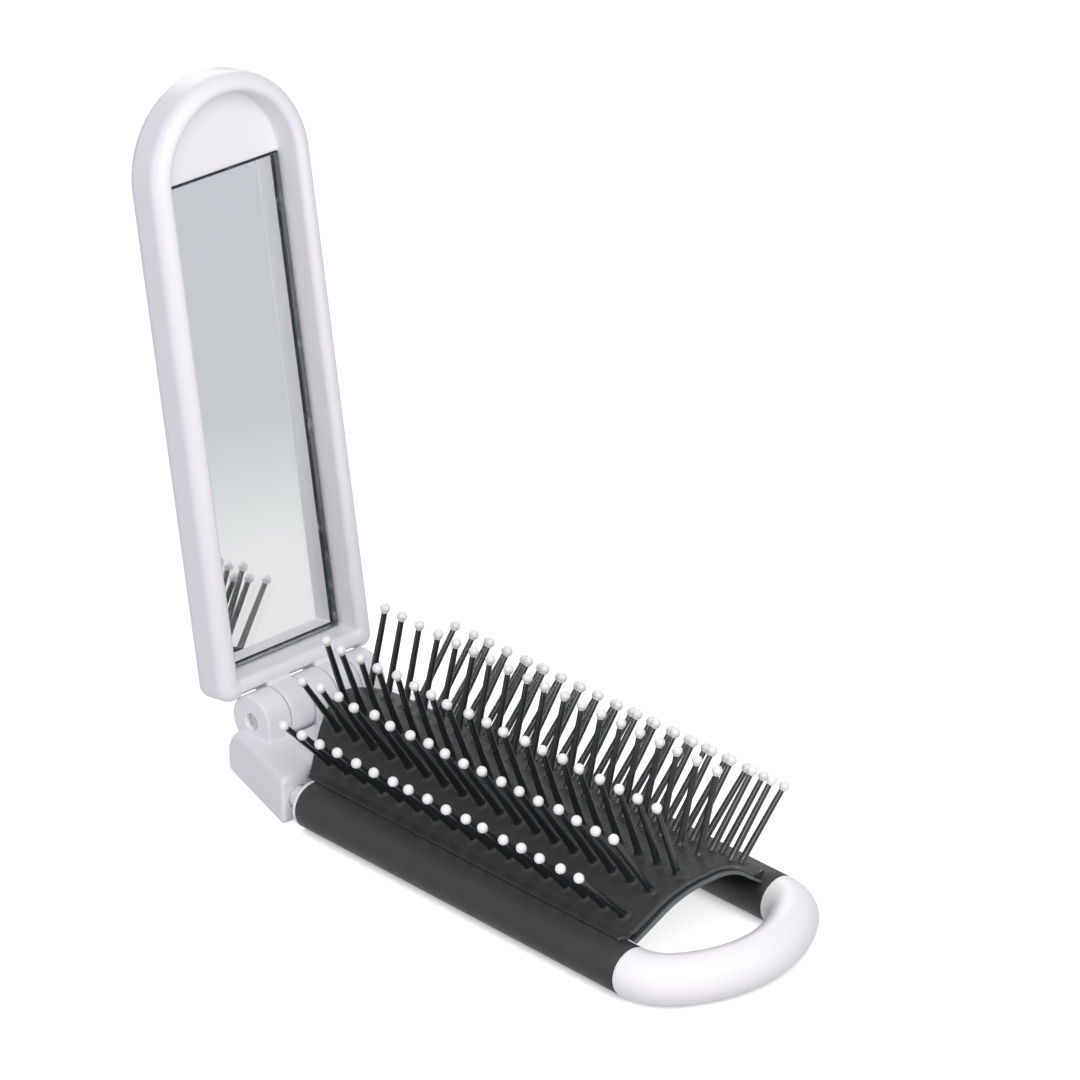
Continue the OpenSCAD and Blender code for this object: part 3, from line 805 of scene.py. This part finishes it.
def any_ray(tree, *kinds):
    """One for a ray of any of these kinds, otherwise zero."""
    path = tree.nodes.new("ShaderNodeLightPath")
    out = path.outputs[kinds[0]]
    for kind in kinds[1:]:
        either = tree.nodes.new("ShaderNodeMath")
        either.operation = "MAXIMUM"
        tree.links.new(out, either.inputs[0])
        tree.links.new(path.outputs[kind], either.inputs[1])
        out = either.outputs[0]
    return out


def blend(tree, share, first, second):
    node = tree.nodes.new("ShaderNodeMixShader")
    tree.links.new(share, node.inputs["Fac"])
    tree.links.new(first, node.inputs[1])
    tree.links.new(second, node.inputs[2])
    return node.outputs[0]


def emission(tree, strength, colour=None):
    node = tree.nodes.new("ShaderNodeEmission")
    node.inputs["Strength"].default_value = strength
    if colour:
        tree.links.new(colour, node.inputs["Color"])
    return node.outputs[0]


def floor_material():
    mat = bpy.data.materials.new("Pale_floor")
    mat.use_nodes = True
    tree = mat.node_tree
    tree.nodes.clear()
    out = tree.nodes.new("ShaderNodeOutputMaterial")
    diffuse = tree.nodes.new("ShaderNodeBsdfDiffuse")
    diffuse.inputs["Color"].default_value = (0.72, 0.72, 0.73, 1)
    # Seen by the camera it glows white, with a painted contact shadow where something stands close over it,
    # on top of the real shade of its diffuse part
    near = tree.nodes.new("ShaderNodeAmbientOcclusion")
    near.samples = 8
    near.inputs["Distance"].default_value = CONTACT
    shade = ramp(tree, near.outputs["AO"], [(0.0, (0.35,) * 3), (0.5, (0.9,) * 3), (0.8, (1, 1, 1))])
    seen = blend(tree, any_ray(tree, "Is Camera Ray"), emission(tree, 0.0), emission(tree, 0.75, shade))
    add = tree.nodes.new("ShaderNodeAddShader")
    tree.links.new(diffuse.outputs[0], add.inputs[0])
    tree.links.new(seen, add.inputs[1])
    # What mirrors see is a painted reflection: the floor glows pale near the brush, cooler and greyer further
    # off
    coords = tree.nodes.new("ShaderNodeTexCoord")
    away = tree.nodes.new("ShaderNodeVectorMath")
    away.operation = "DOT_PRODUCT"
    away.inputs[1].default_value = FADE_WAY
    tree.links.new(coords.outputs["Object"], away.inputs[0])
    fade = tree.nodes.new("ShaderNodeMapRange")
    fade.inputs["From Min"].default_value = FADE_NEAR
    fade.inputs["From Max"].default_value = FADE_FAR
    tree.links.new(away.outputs["Value"], fade.inputs["Value"])
    mirrored = emission(tree, 1.0, ramp(tree, fade.outputs["Result"], [(0.0, PALE), (1.0, COOL)]))
    pick = any_ray(tree, "Is Glossy Ray", "Is Transmission Ray")
    tree.links.new(blend(tree, pick, add.outputs[0], mirrored), out.inputs["Surface"])
    return mat


def stage():
    mesh = bpy.data.meshes.new("Floor")
    h = FLOOR_HALF
    mesh.from_pydata([(-h, -h, 0), (h, -h, 0), (h, h, 0), (-h, h, 0)], [], [(0, 1, 2, 3)])
    floor = bpy.data.objects.new("Floor", mesh)
    bpy.context.scene.collection.objects.link(floor)
    mesh.materials.append(floor_material())


stage()


def area(name, place, target, size, power, colour):
    """A round lamp; places and size in metres."""
    data = bpy.data.lights.new(name, "AREA")
    data.shape = "DISK"
    data.size = size
    data.energy = power
    data.color = colour
    lamp = bpy.data.objects.new(name, data)
    lamp.location = place
    lamp.rotation_mode = "QUATERNION"
    lamp.rotation_quaternion = (Vector(target) - Vector(place)).to_track_quat("-Z", "Y")
    bpy.context.scene.collection.objects.link(lamp)


area("Key", (0.26, -0.13, 0.27), (0.0, 0, 0.065), 0.3, 0.92, (1.0, 0.985, 0.95))
area("Fill", (-0.1, -0.6, 0.25), (0.02, 0, 0.05), 0.5, 0.3, (0.91, 0.89, 1.0))
area("Back", (-0.5, 0.35, 0.4), (0.0, 0, 0.05), 0.5, 1.35, (0.97, 0.96, 1.0))


def background(tree, colour, strength):
    node = tree.nodes.new("ShaderNodeBackground")
    node.inputs["Color"].default_value = (*colour, 1)
    node.inputs["Strength"].default_value = strength
    return node.outputs[0]


# Faint light from all round, but plain white where it is seen directly or in glass and gloss
world = bpy.data.worlds.new("Studio")
bpy.context.scene.world = world
world.use_nodes = True
tree = world.node_tree
tree.nodes.clear()
out = tree.nodes.new("ShaderNodeOutputWorld")
direct = any_ray(tree, "Is Camera Ray", "Is Glossy Ray", "Is Transmission Ray")
ambient = background(tree, (0.915, 0.90, 1.0), 0.43)
tree.links.new(blend(tree, direct, ambient, background(tree, (1, 1, 1), 1.0)), out.inputs["Surface"])

# Camera, matched to the photograph: its direction, the point it is set by and its place from there in mm
AZIMUTH, ELEVATION = math.radians(46.49), math.radians(26.3)
MIDDLE = Vector((57.27, 0, 19.09))
DISTANCE, RIGHTWARD, UPWARD = 988.6, 3.81, 36.09
back = Vector((math.sin(AZIMUTH) * math.cos(ELEVATION), -math.cos(AZIMUTH) * math.cos(ELEVATION),
               math.sin(ELEVATION)))
right = Vector((math.cos(AZIMUTH), math.sin(AZIMUTH), 0))
up = back.cross(right)
data = bpy.data.cameras.new("Camera")
data.sensor_width = 36
data.lens = 199.8
data.clip_start, data.clip_end = 0.05, 30
camera = bpy.data.objects.new("Camera", data)
spot = (MIDDLE + back * DISTANCE + right * RIGHTWARD + up * UPWARD) * MM
camera.matrix_world = Matrix.Translation(spot) @ Matrix((right, up, back)).transposed().to_4x4()
bpy.context.scene.collection.objects.link(camera)
bpy.context.scene.camera = camera
bpy.context.scene.view_settings.view_transform = "Standard"
